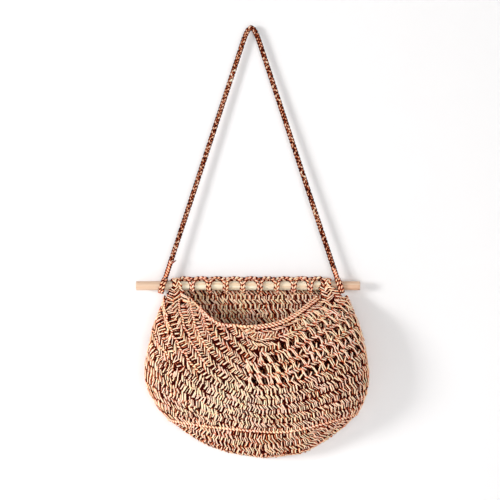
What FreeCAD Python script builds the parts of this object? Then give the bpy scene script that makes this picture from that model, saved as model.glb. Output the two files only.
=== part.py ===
"""Crocheted hanging fruit basket on a wooden rod, in millimetres.

X runs along the rod, Y goes into the wall and Z goes up. The origin is the underside of the hanging
cord where it rests on its hook. The rod hangs below it in the plane Y = 0, and the flat back panel of
the basket stands behind the rod, against the wall.
"""
import FreeCAD, Part
import math
import os

# Rod, with how far it stands out past each cord eye
rod_diameter = 12.0
rod_overhang_left = 35.7
rod_overhang_right = 27.3
rod_end_chamfer = 0.8

# Hanging cord
cord_diameter = 6.0
hook_diameter = 7.2
hook_drop = 344.0
eye_strand = 4.4
eye_setback = 10.8
splice_diameter = 8.0
left_splice_length = 22.0
right_splice_length = 11.0

# Belt loops and corner tabs along the top of the back panel
loop_count = 8
loop_pitch = 22.6
loop_strand = 4.0
tab_width = 12.0
tab_leg = 14.0
tab_thickness = 4.0
edge_strand = 5.2

# Pouch
basket_width = 302.0
basket_height = 231.0
basket_depth = 92.0
fabric_thickness = 5.0
shoulder_step_left = 9.3
shoulder_step_right = 23.5
bottom_shift = 18.0
rim_drop = 52.0
edging_height = 8.0

# Clearances
running_gap = 0.4
seam_gap = 0.3
panel_gap = 1.0
overrun = 30.0

# Shares of the sizes above
belly_left_share = 0.476
side_depth_share = 0.3
# Height from shoulder to bottom, shoulder width, belly width left and right, depth, power of the front curve
section_shares = [
    (0.0, 1.0, 0.0, 0.0, 0.0, 5.0),
    (0.15, 0.55, 0.45, 0.45, 0.6, 3.2),
    (0.32, 0.18, 0.82, 0.82, 0.88, 2.5),
    (0.47, 0.0, 0.995, 0.995, 0.99, 2.2),
    (0.62, 0.0, 0.925, 0.968, 0.94, 2.1),
    (0.74, 0.0, 0.79, 0.872, 0.72, 2.1),
    (0.84, 0.0, 0.605, 0.728, 0.46, 2.1),
    (0.92, 0.0, 0.397, 0.563, 0.23, 2.2),
    (0.975, 0.0, 0.125, 0.379, 0.05, 2.4),
]
# Rim across the mouth: of the half distance over the tabs, and of the rim drop
rim_shares = [(-1.02, -0.3), (-0.69, 0.43), (-0.45, 0.87), (-0.23, 0.955), (0.0, 1.0),
              (0.35, 0.9), (0.69, 0.52), (1.04, -0.12)]
# Changes of stitch: of half the basket width, and of the basket height
mesh_edge_shares = [(-1.2, 0.3), (-0.8, 0.4), (-0.45, 0.505), (0.03, 0.555), (0.5, 0.505),
                    (0.85, 0.4), (1.25, 0.3)]
base_edge_shares = [(-1.2, 0.69), (-0.6, 0.77), (0.05, 0.81), (0.65, 0.78), (1.25, 0.69)]
front_points = 13

rod_radius = rod_diameter / 2
rod_z = -hook_drop
rod_room = rod_radius + running_gap
panel_front = rod_radius + panel_gap
wall_face = panel_front + fabric_thickness
tab_centre = (loop_count + 1) / 2 * loop_pitch
tab_edge = tab_centre + tab_width / 2
eye_x = tab_edge + eye_setback
shoulder_z = rod_z - tab_leg
panel_top = rod_z + rod_room
pouch_drop = basket_height - tab_leg
belly_left = basket_width * belly_left_share
belly_right = basket_width - belly_left
shoulder_left = tab_edge + shoulder_step_left
shoulder_right = tab_edge + shoulder_step_right
top_depth = wall_face + rod_room + tab_thickness
hook_radius = hook_diameter / 2
cord_radius = cord_diameter / 2
turn_radius = hook_radius + cord_radius

X_AXIS = FreeCAD.Vector(1, 0, 0)
Y_AXIS = FreeCAD.Vector(0, 1, 0)
Z_AXIS = FreeCAD.Vector(0, 0, 1)


def vector(x, y, z):
    return FreeCAD.Vector(x, y, z)


def leg_angle():
    """Lean of a taut cord leg that leaves the hook on a tangent and points at the rod's axis."""
    centre_drop = hook_drop - hook_radius
    reach = math.hypot(eye_x, centre_drop)
    return math.atan2(eye_x, centre_drop) - math.asin(turn_radius / reach)


def leg_point(side, distance):
    """Point on a cord leg, measured from the rod's axis up the leg."""
    lean = leg_angle()
    return vector(side * (eye_x - distance * math.sin(lean)), 0, rod_z + distance * math.cos(lean))


def side_places(row):
    """X of the left and right edge of the pouch for one row of section_shares."""
    height, shoulder, left, right, depth, power = row
    return (-shoulder * shoulder_left - left * belly_left, shoulder * shoulder_right + right * belly_right)


def section_z(row):
    return shoulder_z - row[0] * pouch_drop


def pouch_section(row, skin, rise):
    """Level outline of the pouch: flat back, short straight sides and a round front.

    The front is a half superellipse. skin moves the outline inwards and rise lifts it.
    """
    left, right = side_places(row)
    depth = top_depth + row[4] * (basket_depth - top_depth)
    middle = (left + right) / 2
    half = (right - left) / 2 - skin
    side_y = wall_face - side_depth_share * depth
    bulge = side_y - (wall_face - depth) - skin
    level = section_z(row) + rise
    back = panel_front + skin
    front = []
    for step in range(front_points):
        turn = math.pi * step / (front_points - 1)
        across = math.copysign(abs(math.cos(turn)) ** (2 / row[5]), math.cos(turn))
        ahead = abs(math.sin(turn)) ** (2 / row[5])
        front.append(vector(middle - half * across, side_y - bulge * ahead, level))
    curve = Part.BSplineCurve()
    curve.interpolate(Points=front, Parameters=[float(step) for step in range(front_points)])
    left_back = vector(middle - half, back, level)
    right_back = vector(middle + half, back, level)
    return Part.Wire([
        Part.makeLine(left_back, front[0]),
        curve.toShape(),
        Part.makeLine(front[-1], right_back),
        Part.makeLine(right_back, left_back),
    ])


def pouch_solid(skin):
    """Loft through the level sections, carried straight up past the shoulder."""
    sections = [pouch_section(section_shares[0], skin, overrun)]
    for row in section_shares:
        sections.append(pouch_section(row, skin, skin * row[0]))
    return Part.makeLoft(sections, True, False)


def stitch_edge(shares, half_span, height, lift):
    """Curve in the plane Y = 0 through the shared places, moved up by lift."""
    points = [vector(half_span * x, 0, rod_z - height * drop + lift) for x, drop in shares]
    curve = Part.BSplineCurve()
    curve.interpolate(points)
    return curve.toShape(), points


def above(edge_and_points):
    """Block of everything above a stitch edge and in front of the back panel."""
    edge, points = edge_and_points
    ceiling = max(points[0].z, points[-1].z) + basket_height
    rise = [points[-1], vector(points[-1].x, 0, ceiling), vector(points[0].x, 0, ceiling), points[0]]
    outline = Part.Wire([edge] + [Part.makeLine(a, b) for a, b in zip(rise, rise[1:])])
    face = Part.Face(outline)
    face.translate(vector(0, -basket_depth - overrun, 0))
    return face.extrude(vector(0, basket_depth + overrun + panel_front, 0))


def pouch_bands():
    """The worked front of the pouch, parted where the stitch changes."""
    shell = pouch_solid(0).cut(pouch_solid(fabric_thickness))
    width = basket_width + 2 * overrun
    lid = Part.makeBox(width, basket_depth + 2 * overrun, basket_height)
    lid.translate(vector(-width / 2, -basket_depth - overrun, shoulder_z))
    shell = shell.cut(lid)
    half = basket_width / 2
    rim = above(stitch_edge(rim_shares, tab_edge, rim_drop, 0))
    edging_top = above(stitch_edge(rim_shares, tab_edge, rim_drop, -edging_height))
    mesh_top = above(stitch_edge(rim_shares, tab_edge, rim_drop, -edging_height - seam_gap))
    mesh_low = above(stitch_edge(mesh_edge_shares, half, basket_height, 0))
    wall_top = above(stitch_edge(mesh_edge_shares, half, basket_height, -seam_gap))
    wall_low = above(stitch_edge(base_edge_shares, half, basket_height, 0))
    base_top = above(stitch_edge(base_edge_shares, half, basket_height, -seam_gap))
    return {
        "pouch_edging": shell.cut(rim).common(edging_top),
        "pouch_mesh_band": shell.cut(mesh_top).common(mesh_low),
        "pouch_wall": shell.cut(wall_top).common(wall_low),
        "pouch_base": shell.cut(base_top),
    }


def back_panel():
    """Flat plate with the outline of the pouch below and a neck behind the rod."""
    left = [vector(side_places(row)[0], panel_front, section_z(row)) for row in section_shares]
    right = [vector(side_places(row)[1], panel_front, section_z(row)) for row in section_shares]
    bottom = vector(bottom_shift, panel_front, rod_z - basket_height)
    curve = Part.BSplineCurve()
    curve.interpolate(left + [bottom] + right[::-1])
    neck = [
        right[0],
        vector(tab_edge, panel_front, shoulder_z),
        vector(tab_edge, panel_front, panel_top),
        vector(-tab_edge, panel_front, panel_top),
        vector(-tab_edge, panel_front, shoulder_z),
        left[0],
    ]
    edges = [curve.toShape()] + [Part.makeLine(a, b) for a, b in zip(neck, neck[1:])]
    return Part.Face(Part.Wire(edges)).extrude(Y_AXIS * fabric_thickness)


def corner_tab(side):
    """Strap from the panel's top edge over the rod and down in front of it to the pouch's corner."""
    outer = rod_room + tab_thickness
    diagonal = math.sqrt(2) / 2
    start = side * tab_centre - tab_width / 2

    def spot(y, z):
        return vector(start, y, rod_z + z)

    over = Part.Arc(spot(0, outer), spot(-outer * diagonal, outer * diagonal), spot(-outer, 0)).toShape()
    under = Part.Arc(spot(-rod_room, 0), spot(-rod_room * diagonal, rod_room * diagonal),
                     spot(0, rod_room)).toShape()
    outline = Part.Wire([
        Part.makeLine(spot(wall_face, outer), spot(0, outer)),
        over,
        Part.makeLine(spot(-outer, 0), spot(-outer, -tab_leg)),
        Part.makeLine(spot(-outer, -tab_leg), spot(-rod_room, -tab_leg)),
        Part.makeLine(spot(-rod_room, -tab_leg), spot(-rod_room, 0)),
        under,
        Part.makeLine(spot(0, rod_room), spot(wall_face, rod_room)),
        Part.makeLine(spot(wall_face, rod_room), spot(wall_face, outer)),
    ])
    return Part.Face(outline).extrude(X_AXIS * tab_width)


def rod_loop(place):
    """Strand from the panel's face over the rod, down in front and back under it to the panel."""
    ring = Part.makeTorus(rod_room + loop_strand / 2, loop_strand / 2, vector(place, 0, rod_z), X_AXIS)
    reach = rod_room + loop_strand + overrun
    keep = Part.makeBox(loop_strand + 2 * overrun, reach + panel_front, 2 * reach)
    keep.translate(vector(place - loop_strand / 2 - overrun, -reach, rod_z - reach))
    return ring.common(keep)


def top_edge_chain():
    """Round edging on the panel's top edge between the two tabs."""
    length = 2 * (tab_centre - tab_width / 2 - seam_gap)
    start = vector(-length / 2, (panel_front + wall_face) / 2, panel_top + edge_strand / 2)
    return Part.makeCylinder(edge_strand / 2, length, start, X_AXIS)


def rod():
    """Plain rod with slightly eased ends."""
    start = -eye_x - rod_overhang_left
    length = 2 * eye_x + rod_overhang_left + rod_overhang_right
    bar = Part.makeCylinder(rod_radius, length, vector(start, 0, rod_z), X_AXIS)
    rims = [edge for edge in bar.Edges if isinstance(edge.Curve, Part.Circle)]
    return bar.makeChamfer(rod_end_chamfer, rims)


def eye_radius():
    """Middle radius of a cord eye, with room for the rod while it leans with its leg."""
    return rod_room / math.cos(leg_angle()) + eye_strand / 2


def cord_eye(side):
    """Ring of cord round the rod, leaning with its leg."""
    lean = leg_angle()
    axis = vector(math.cos(lean), 0, side * math.sin(lean))
    return Part.makeTorus(eye_radius(), eye_strand / 2, vector(side * eye_x, 0, rod_z), axis)


def splice_start():
    return eye_radius() + eye_strand / 2 + seam_gap


def cord_splice(side, length):
    """Doubled stretch where the cord's end is worked back into its own leg."""
    start = leg_point(side, splice_start())
    along = leg_point(side, splice_start() + length) - start
    return Part.makeCylinder(splice_diameter / 2, length, start, along)


def hanging_cord():
    """One taut cord: up the left leg, round the hook and down the right leg."""
    lean = leg_angle()
    left = leg_point(-1, splice_start() + left_splice_length)
    right = leg_point(1, splice_start() + right_splice_length)
    hook_centre = vector(0, 0, -hook_radius)
    off_left = hook_centre + vector(-turn_radius * math.cos(lean), 0, turn_radius * math.sin(lean))
    off_right = hook_centre + vector(turn_radius * math.cos(lean), 0, turn_radius * math.sin(lean))
    crown = hook_centre + Z_AXIS * turn_radius
    path = Part.Wire([
        Part.LineSegment(left, off_left).toShape(),
        Part.Arc(off_left, crown, off_right).toShape(),
        Part.LineSegment(off_right, right).toShape(),
    ])
    ring = Part.Wire(Part.Circle(left, off_left - left, cord_radius).toShape())
    tube = path.makePipeShell([ring], True, False)
    wanted = math.pi * cord_radius ** 2 * path.Length
    print("cord length", round(path.Length, 1), "turn radius", turn_radius, "leg lean", math.degrees(lean))
    print("cord volume", round(tube.Volume), "section times length", round(wanted))
    return tube


def all_pieces():
    pieces = {
        "rod": rod(),
        "back_panel": back_panel(),
        "top_edge_chain": top_edge_chain(),
        "left_corner_tab": corner_tab(-1),
        "right_corner_tab": corner_tab(1),
        "hanging_cord": hanging_cord(),
        "left_cord_eye": cord_eye(-1),
        "right_cord_eye": cord_eye(1),
        "left_cord_splice": cord_splice(-1, left_splice_length),
        "right_cord_splice": cord_splice(1, right_splice_length),
    }
    pieces.update(pouch_bands())
    for number in range(loop_count):
        place = (number - (loop_count - 1) / 2) * loop_pitch
        pieces["rod_loop_%02d" % (number + 1)] = rod_loop(place)
    return pieces


os.makedirs("parts", exist_ok=True)
for name, shape in all_pieces().items():
    solids = shape.Solids
    print(name, "valid", shape.isValid(), "solids", len(solids), "volume", round(shape.Volume))
    solids[0].exportStep("parts/" + name + ".step")
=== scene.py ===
import math
from collections import namedtuple

import bpy
import numpy as np
from bpy.props import FloatProperty, FloatVectorProperty, IntProperty, PointerProperty
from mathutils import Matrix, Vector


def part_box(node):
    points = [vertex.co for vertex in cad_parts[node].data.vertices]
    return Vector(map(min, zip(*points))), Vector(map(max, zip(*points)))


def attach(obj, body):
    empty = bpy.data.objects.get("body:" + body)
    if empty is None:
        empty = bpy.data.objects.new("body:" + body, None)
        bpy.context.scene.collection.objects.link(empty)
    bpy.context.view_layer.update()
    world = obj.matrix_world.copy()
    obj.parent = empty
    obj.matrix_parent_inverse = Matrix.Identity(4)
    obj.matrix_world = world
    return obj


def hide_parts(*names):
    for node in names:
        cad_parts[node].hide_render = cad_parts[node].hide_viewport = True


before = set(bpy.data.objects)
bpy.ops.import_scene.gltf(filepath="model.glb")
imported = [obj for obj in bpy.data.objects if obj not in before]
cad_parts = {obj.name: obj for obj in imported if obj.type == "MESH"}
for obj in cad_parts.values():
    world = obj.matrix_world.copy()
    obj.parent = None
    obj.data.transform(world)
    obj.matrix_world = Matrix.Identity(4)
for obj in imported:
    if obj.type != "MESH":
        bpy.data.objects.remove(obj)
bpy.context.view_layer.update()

bl_info = {
    "name": "Crocheted hanging basket",
    "version": (1, 0, 0),
    "blender": (4, 5, 0),
    "location": "View3D > Sidebar > Basket",
    "description": "Works a crocheted basket, its rod and its hanging cord around the packed frame",
    "category": "Add Mesh",
}

FORWARD = np.array([0.0, -1.0, 0.0])
UP = np.array([0.0, 0.0, 1.0])


def corners(*nodes):
    """Lowest and highest corner of the given nodes together."""
    boxes = np.array([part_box(node) for node in nodes])
    return boxes[:, 0].min(axis=0), boxes[:, 1].max(axis=0)


# Places and sizes that come from the frame
ROD_LOW, ROD_HIGH = corners("rod")
ROD_Z = (ROD_LOW[2] + ROD_HIGH[2]) / 2
ROD_RADIUS = (ROD_HIGH[2] - ROD_LOW[2]) / 2
PANEL_LOW, PANEL_HIGH = corners("back_panel")
PANEL_MIDDLE_Y = (PANEL_LOW[1] + PANEL_HIGH[1]) / 2
FABRIC = PANEL_HIGH[1] - PANEL_LOW[1]
POUCH_LOW, POUCH_HIGH = corners("pouch_edging", "pouch_mesh_band", "pouch_wall", "pouch_base")
TAB_LOW, TAB_HIGH = corners("left_corner_tab", "right_corner_tab")
CHAIN_LOW, CHAIN_HIGH = corners("top_edge_chain")
SHOULDER_Z = TAB_LOW[2]
POUCH_DROP = SHOULDER_Z - PANEL_LOW[2]
BASKET_HEIGHT = ROD_Z - PANEL_LOW[2]
TOP_DEPTH = PANEL_HIGH[1] - TAB_LOW[1]
POUCH_DEPTH = PANEL_HIGH[1] - POUCH_LOW[1]
EDGING_HEIGHT = 0.008
RIM_DROP = ROD_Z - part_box("pouch_edging")[0][2] - EDGING_HEIGHT
LOOP_NODES = sorted(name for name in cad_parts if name.startswith("rod_loop"))
LOOP_PLACES = [float(sum(corners(node))[0] / 2) for node in LOOP_NODES]
LOOP_STEP = LOOP_PLACES[1] - LOOP_PLACES[0]

# Level sections of the pouch: height from shoulder to bottom, shoulder width, belly left, belly right,
# depth and the power of the front curve
SECTION_SHARES = np.array([
    (0.0, 1.0, 0.0, 0.0, 0.0, 5.0),
    (0.15, 0.55, 0.45, 0.45, 0.6, 3.2),
    (0.32, 0.18, 0.82, 0.82, 0.88, 2.5),
    (0.47, 0.0, 0.995, 0.995, 0.99, 2.2),
    (0.62, 0.0, 0.925, 0.968, 0.94, 2.1),
    (0.74, 0.0, 0.79, 0.872, 0.72, 2.1),
    (0.84, 0.0, 0.605, 0.728, 0.46, 2.1),
    (0.92, 0.0, 0.397, 0.563, 0.23, 2.2),
    (0.975, 0.0, 0.125, 0.379, 0.05, 2.4),
    (1.0, 0.0, -0.125, 0.115, -0.05, 2.4),
])
SHOULDER_LEFT_SHARE = 0.814
SHOULDER_RIGHT_SHARE = 0.829
SIDE_DEPTH_SHARE = 0.3
# Rim of the mouth: place across the pouch, and drop below the rod as a share of the rim's drop
RIM_SHARES = np.array([
    (-1.0, -0.23), (-0.73, 0.27), (-0.51, 0.67), (-0.41, 0.86), (-0.33, 0.935), (-0.2, 0.96), (-0.05, 1.0),
    (0.1, 0.97), (0.22, 0.9), (0.38, 0.73), (0.52, 0.52), (0.68, 0.28), (1.0, -0.23),
])
# Ridge above the base: place across the pouch, and drop below the rod as a share of the basket's height
RIDGE_SHARES = np.array([
    (-1.0, 0.766), (-0.87, 0.773), (-0.52, 0.794), (-0.11, 0.812), (0.15, 0.82), (0.41, 0.812),
    (0.6, 0.788), (0.78, 0.76), (1.0, 0.732),
])

# Bands of the front as shares of the way from rim to ridge
RIM_ROW_SHARE, MESH_START_SHARE, MESH_END_SHARE = 0.045, 0.04, 0.53
# How far the rows are fanned out on the left, how late that sets in, and the row that they are fanned from
FAN_SHARE, FAN_POWER, FAN_FROM_SHARE = 1.2, 1.35, 1.19
# Rows of the wall down to the ridge, and the short ones below it on the left
WALL_ROWS = 10
WALL_EDGES = np.arange(MESH_END_SHARE, FAN_FROM_SHARE, (1 - MESH_END_SHARE) / WALL_ROWS)
# Heights of the base's rows above the lower outline, and rows of the seam from there back to the panel
BASE_RISES = (0.0, 0.0045, 0.01, 0.0165, 0.0235, 0.0305, 0.0375)
SEAM_ROWS = 3
# Places across that a row runs on past the sides, back to the panel
WRAP = 0.25
SHORTEST_ROW_SHARE, TALLEST_ROW = 0.02, 0.0105
LINE_POINTS = 500

# Stitches: points in a turn of yarn, its curl sideways, and powers that square off its height and depth
STEPS, CURL, HEIGHT_POWER, OUT_POWER = 8, 0.22, 0.7, 0.35
# Random wander of the strands, along a row at two rates
WANDERS = (0.27, 0.2)
HEIGHT_JITTER, TINT_JITTER, THICK_JITTER, LIFT_JITTER = 0.17, 0.14, 0.16, 0.0004
# Lowest and highest share of a row that strokes reach, and the same in the upper and lower row of a pair
ROW_REACH, SEAM_REACH = (-0.07, 1.07), (0.1, 1.1)
PAIR_REACHES = ((-0.08, 0.95), (0.05, 1.08))
ROPED_REACHES = ((-0.06, 0.78), (0.06, 1.06))
# Strokes that a stroke leans over on the seam and the tabs, and how much further it leans on roped rows
SEAM_SLANT, TAB_SLANTS, ROPED_SLANT_SHARE = 0.5, (2.2, -2.2), 1.9
# Painted shade and highlight by depth: tone gained from the middle of the fabric to its outside, darker in
# the gaps and lighter on the crowns, and the share of the way out that has a row's tone
DEPTH_SHADE_AND_HIGHLIGHT, DEPTH_LEVEL = 2.6, 0.73
# Middle and reach of a painted pool of light on the belly, and how much lighter it makes the yarn
BELLY_LIGHT_PLACE = np.array([-0.03, POUCH_LOW[1], ROD_Z - 0.62 * BASKET_HEIGHT])
BELLY_LIGHT_REACH = np.array([0.075, 0.04, 0.045])
BELLY_LIGHT_TONE = 0.5
DENSE_TONE, ROPED_TONE, TAB_TONE, SEAM_TONE, PANEL_TONE = 0.74, 0.63, 0.58, 0.55, 1.16
# Painted shade inside the pouch: how much darker the panel's inner side is below the rim, and the height over
# which that sets in
PANEL_SHADE, PANEL_SHADE_REACH = 1.46, 0.015
# Tone, thickness and lift of the light and the dark strand of a row on the front, and of one on the panel
FRONT_PLIES = ((0.22, 1.1, 0.0004), (-0.3, 0.82, -0.0003))
PANEL_PLIES = ((0.3, 1.28, 0.0004), (-0.68, 0.76, -0.0003))
# Step between the panel's strokes as a share of the front's, their least number, and the bare hem
PANEL_STROKE_SHARE, PANEL_FEWEST, PANEL_HEM = 1.08, 3.0, 0.002
# Strands that back a row and close it, dark as painted shade in the gaps between stitches: tones on the front
# and the panel, places on the row, thickness and step of points
BACKING_SHADE_TONE, PANEL_BACKING_SHADE_TONE = -1.4, -0.5
BACKING_PLACES = (0.0, 0.33, 0.67)
BACKING_SHARE, BACKING_RADIUS, BACKING_STEP = 0.18, 0.0013, 0.004

# Lace: rows, where the open stitches of each row start across the pouch, and where they all end
LACE_ROWS = 5
LACE_START_SHARES = (0.3, 0.14, 0.02, -0.06, -0.04)
LACE_END_SHARE = 0.9
# Close head of a row as a share of it, step between posts, and height of a row whose posts lean in full
LACE_HEAD_SHARE, LACE_STEP, LACE_HEIGHT = 0.34, 0.0119, 0.008
# Posts: lean from the upright to the left, bend of their tops and its start, reach past the row, and loft
LACE_TILT = math.radians(26)
LACE_BEND, LACE_BEND_START, LACE_REACH, LACE_LOFT = 1.5, 0.95, (-0.2, 1.35), 0.002
LACE_YARN_SHARE, LACE_STRAND_STEP, LACE_TONES = 0.62, 0.17, (0.82, 0.47, 0.82)
# Heights of posts and of the strands that cross gaps, the lean of those, and the last post without one
POST_HEIGHTS, CROSSING_HEIGHTS, CROSSING_LEAN, CROSSING_START = (0.85, 1.1), (0.3, 0.6), 0.35, 3
FOOT_JITTER, TILT_JITTER, BESIDE_JITTER, LEAN_JITTER = 0.07, 0.08, 0.03, 0.07
POST_JITTER, POST_SWAY, POST_TINT_JITTER = 0.1, 0.04, 0.12

# Ropes: number, offset, radius and tone of their strands, and lengths in which a strand goes round once
Rope = namedtuple("Rope", "strands offset radius tone")
EYE_ROPE = Rope(2, 0.0011, 0.0013, 0.6)
SPLICE_ROPE = Rope(3, 0.002, 0.0016, 0.4)
LOOP_ROPE = Rope(2, 0.001, 0.0014, 0.78)
RIM_ROPE = Rope(2, 0.0012, 0.0014, 0.86)
RIDGE_ROPE = Rope(2, 0.001, 0.0013, 0.85)
ROW_ROPE = Rope(2, 0.001, 0.0012, 0.88)
LOOP_LAY, RIM_LAY, ROW_LAY, ROPE_TINT_JITTER = 0.0105, 0.0094, 0.0088, 0.1
# The rim's two ropes as shares of the edging's row and distances out, and the ridge's distance out
RIM_PLACES, RIDGE_OUT = ((1.0, 0.0012), (0.5, 0.0018)), 0.0022
# Ropes on slanted rows: their end across the pouch, step of points, share of the row and distance out
ROPE_END_SHARE, ROPE_STEP = -0.28, 0.0012
ROW_ROPE_SHARE, ROW_ROPE_SHARE_JITTER = 0.95, 0.1
ROW_ROPE_OUT, ROW_ROPE_OUT_JITTER = 0.0012, 0.0003
# Plaits: length of a full swing, reach sideways and outwards, radius and tones of their strands
Plait = namedtuple("Plait", "lay width depth radius tones")
CORD_PLAIT = Plait(0.0135, 0.002, 0.0009, 0.00175, (0.55, 0.04, 0.3))
CHAIN_PLAIT = Plait(0.0186, 0.0025, 0.0012, 0.0016, (0.95, 0.5, 0.75))
PLAIT_WANDER, PLAIT_TINT_JITTER = 0.04, 0.2

# Route of the hanging cord: left end, left leg near the turn, the two points of the turn, and back
CORD_ROUTE = [
    (-0.1081, 0.0, -0.3122),
    (-0.0175, 0.0055, -0.0358),
    (-0.0048, 0.006, 0.003),
    (0.0048, 0.006, 0.003),
    (0.0175, 0.0055, -0.0358),
    (0.1115, 0.0, -0.3227),
]
CORD_DIAMETER, CORD_STEP = 0.006, 0.0011
# Cord eyes: half the thickness of their ropes, and half the distance between the two
EYE_INSET, EYE_SPREAD = 0.002, 0.0018
# Splices: share of the solid's length, reach past the leg's end, and the tail of yarn on the left one
SPLICE_SHARE, SPLICE_OVERLAP = 0.9, 0.002
TAIL_FOOT, TAIL_TONE, TAIL_RADII = 0.004, 0.45, (0.0012, 0.0007)
TAIL_REACH, TAIL_CURL = np.array([0.0075, -0.0015, 0.0045]), np.array([0.001, 0.0, 0.0015])
ROD_EASE, ROD_STEPS, ROD_SIDES = 0.0009, 80, 48
# Top edge chain: distances below its solid's middle and ahead of the panel, and height of a scallop
CHAIN_SINK, CHAIN_AHEAD, CHAIN_SCALLOP = 0.002, 0.004, 0.0018
# Rod loops: start and sweep round the rod in degrees, half width of the bare windows in half steps, how round
# they are, how far the ropes keep to their edges, and distances off the rod
LOOP_START, LOOP_SWEEP = 80, 205
WINDOW_SHARE, WINDOW_ROUND, LOOP_EDGE_SHARE = 0.75, 0.97, 0.6
LOOP_CLEAR, LOOP_STAGGER, LOOP_SWAY = 0.0016, 0.0005, 0.0004
# Corner tabs: width of a band at the rod, start and end round it in degrees, distance off it and inward slope
TAB_BAND, TAB_TURN, TAB_CLEAR, TAB_SLOPE = 0.0042, (60, 185), 0.0024, 0.003
# Drop of their feet below the shoulder, width there, and first and last line across
TAB_DROP, TAB_FAN, TAB_FIRST_SHARE, TAB_LAST_SHARE = 0.008, 0.038, 0.07, 0.96
# Sides of the tabs, and how far they are spread outwards at the rod
TAB_SPREADS = (("left_corner_tab", -1, 0.0), ("right_corner_tab", 1, 0.06))
# Point that draws a tab's bend: share of the way out and drop, which change across, and distance ahead
TAB_BEND_SHARES, TAB_BEND_DROPS, TAB_BEND_AHEAD = (0.65, -0.55), (-0.004, -0.005), 0.002

WHITE = (1.0, 1.0, 1.0)
# Stage: gap behind the panel, depth of the floor, half width, share of even white, sky, lamps and camera
WALL_GAP, FLOOR_DROP, STAGE_REACH, WALL_GLOW, SKY = 0.0008, 0.9, 4.0, 0.05, 0.24
LAMPS = (
    ("key", (-2.5, -1.65, -0.15), 0.75, 63.0),
    ("fill", (0.5, -3.0, -0.2), 2.0, 43.0),
    ("back", (0.4, 2.0, 0.2), 1.2, 14.0),
)
CAMERA_PLACE, CAMERA_LENS, CAMERA_SENSOR = (-0.0016, -1.6775, -0.2961), 90.0, 36.0


def length_property(name, description, default):
    """Length for a property group."""
    return FloatProperty(name=name, description=description, default=default, unit="LENGTH")


def colour_property(name, description, default):
    """Colour for a property group."""
    return FloatVectorProperty(name=name, description=description, default=default, subtype="COLOR", size=3)


class BasketSizes(bpy.types.PropertyGroup):
    """Sizes of the yarn and its stitches."""

    yarn: length_property("Yarn", "Thickness of the jute yarn", 0.0016)
    stroke: length_property("Stroke", "Step from one stroke of yarn to the next along a row", 0.0029)
    loft: length_property("Loft", "How far a stroke stands out from the middle of the fabric", 0.0012)
    row: length_property("Row", "Height of a row on the back panel", 0.0064)
    cord_lay: length_property("Cord lay", "Length of one turn of a strand in the cord's ends", 0.0108)
    long_slant: FloatProperty(
        name="Long slant", description="Strokes that a stroke of every other row leans over", default=-1.25)
    short_slant: FloatProperty(
        name="Short slant", description="Strokes that a stroke of the rows between leans over", default=0.75)
    sides: IntProperty(name="Sides", description="Faces round a strand of yarn", default=6, min=3)


class BasketColours(bpy.types.PropertyGroup):
    """Colours of the yarn, the wood and the wall."""

    # Besides the yarn's own tones, the light colour shows the painted highlight on the strands' crowns, and
    # the russet and dark ones show painted shade on their sides, in the gaps, on the backing strands and
    # inside the pouch
    jute_light: colour_property("Jute light", "Light strands of the jute", (1.0, 0.9, 0.72))
    jute_middle: colour_property("Jute", "Most of the jute", (0.98, 0.365, 0.19))
    jute_russet: colour_property("Jute russet", "Shaded sides of the strands", (0.5, 0.057, 0.011))
    jute_dark: colour_property("Jute dark", "Inner and dark strands of the jute", (0.04, 0.0007, 0.0))
    wood_light: colour_property("Wood", "Pale wood of the rod", (1.0, 0.92, 0.71))
    wood_grain: colour_property("Wood grain", "Grain lines of the rod", (0.84, 0.58, 0.37))
    wall: colour_property("Wall", "Plain wall and floor", (0.87, 0.86, 0.86))


def sizes():
    return bpy.context.scene.basket_sizes


def colours():
    return bpy.context.scene.basket_colours


# Curves and lines


def unit(vectors):
    """Vectors of the same directions and length 1, where a vector without length stays as it is."""
    return vectors / np.maximum(np.linalg.norm(vectors, axis=-1, keepdims=True), 1e-12)


def smooth(table, column, places):
    """One column of a share table at the given places of its first column.

    Neighbouring rows are joined by cubic Hermite arcs. Each row's slope is the mean slope around it.
    """
    x = table[:, 0]
    y = table[:, column]
    slope = np.gradient(y, x)
    row = np.clip(np.searchsorted(x, places) - 1, 0, len(x) - 2)
    step = x[row + 1] - x[row]
    part = np.clip((places - x[row]) / step, 0, 1)
    rest = 1 - part
    start = (1 + 2 * part) * rest ** 2 * y[row] + part * rest ** 2 * step * slope[row]
    end = part ** 2 * (3 - 2 * part) * y[row + 1] - part ** 2 * rest * step * slope[row + 1]
    return start + end


def points_at(x, y, z):
    """Points of the given coordinates, of which a single one holds for all."""
    return np.stack(np.broadcast_arrays(x, y, z), axis=-1)


def length_along(points):
    """Distance from the first point to each point of a line."""
    return np.concatenate([[0], np.cumsum(np.linalg.norm(np.diff(points, axis=0), axis=1))])


def walk(points, places):
    """Points at the given distances along a line."""
    reach = length_along(points)
    return np.stack([np.interp(places, reach, points[:, axis]) for axis in range(3)], axis=1)


def even(points, count):
    """The same line with its points spread evenly along its length."""
    return walk(points, np.linspace(0, length_along(points)[-1], count))


def at(points, fractions):
    """Points at fractions of the way through the points of a line, joined by straight lines."""
    place = np.clip(fractions, 0, 1) * (len(points) - 1)
    before = np.minimum(place.astype(int), len(points) - 2)
    part = (place - before)[:, None]
    return points[before] * (1 - part) + points[before + 1] * part


def round_rod(x, reach, turn):
    """Points at distances and turns round the rod's axis."""
    return points_at(x, reach * np.cos(turn), ROD_Z + reach * np.sin(turn))


# Pouch surface


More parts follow.
